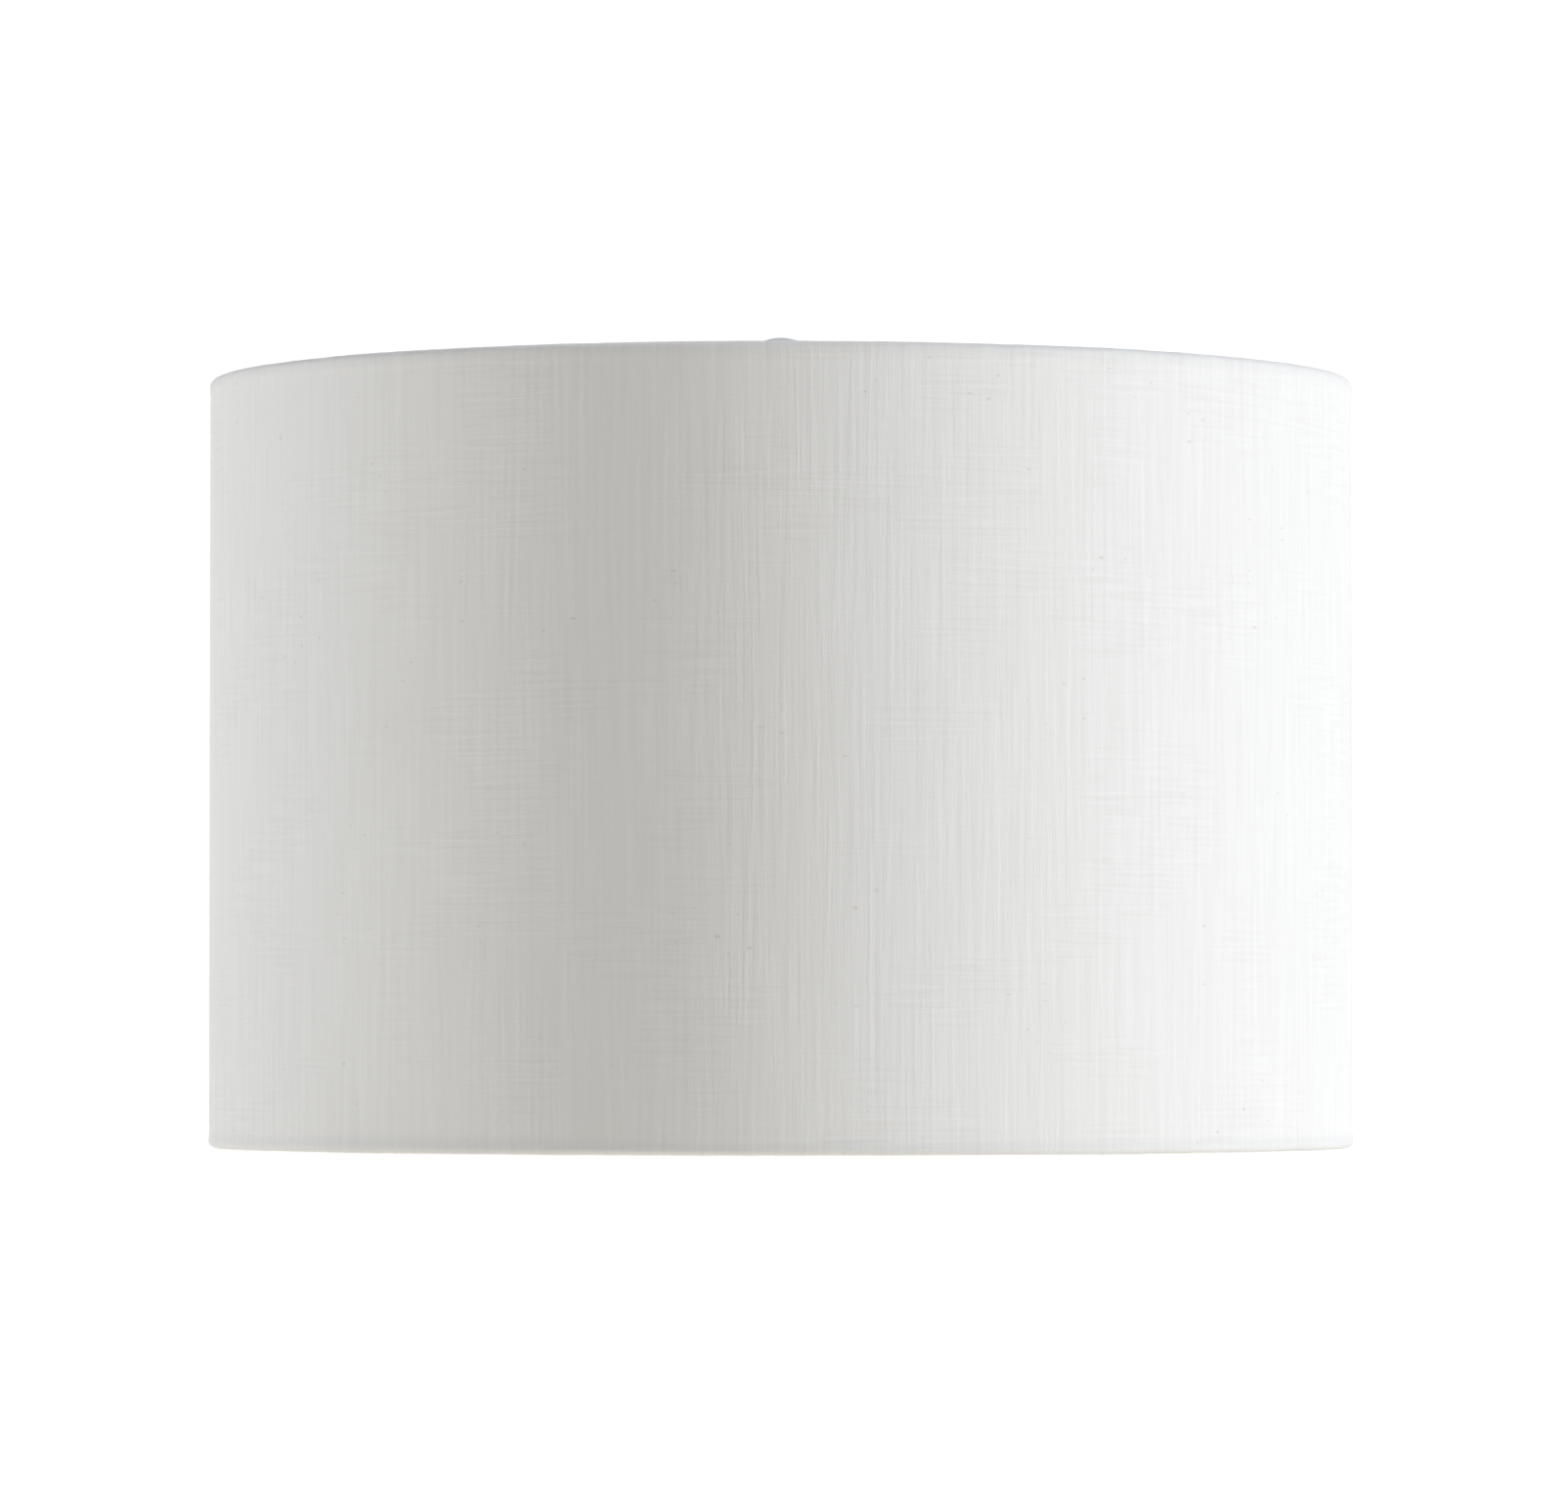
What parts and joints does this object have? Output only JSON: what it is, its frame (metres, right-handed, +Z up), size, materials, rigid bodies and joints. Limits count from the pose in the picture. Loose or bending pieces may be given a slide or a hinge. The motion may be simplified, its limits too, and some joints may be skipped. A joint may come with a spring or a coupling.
{
  "type": "drum lamp shade",
  "caption": "White linen drum lamp shade with rolled edges on wire rings, a recessed spider fitter and a turned metal finial.",
  "frame": {"origin": "centre of the circle that the lower rim rests on, on the shade's axis", "axes": "+Z up along the shade's axis, +Y towards the lapped side seam at the back, +X to the right seen from the front"},
  "size_m": [0.381, 0.3821, 0.2704],
  "materials": {
    "linen": "matt woven linen look with vertical slubs",
    "styrene": "translucent white satin sheet",
    "seam_tape": "clear adhesive film",
    "plated_wire": "satin nickel plating on steel wire",
    "plated_washer": "satin nickel plating on stamped steel",
    "finial_metal": "brushed warm nickel"
  },
  "bodies": {
    "shade": {"outer_cloth": "linen", "styrene_liner": "styrene", "seam_tape": "seam_tape", "upper_ring": "plated_wire", "lower_ring": "plated_wire", "spider_arm_1": "plated_wire", "spider_arm_2": "plated_wire", "spider_arm_3": "plated_wire", "spider_washer": "plated_washer"},
    "finial": {"finial_base": "finial_metal", "finial_knob": "finial_metal"}
  },
  "joints": [
    {"name": "finial_turn", "type": "hinge", "parent": "shade", "child": "finial", "pos_m": [0, 0, 0.2437], "axis": [0, 0, 1], "continuous": true}
  ]
}
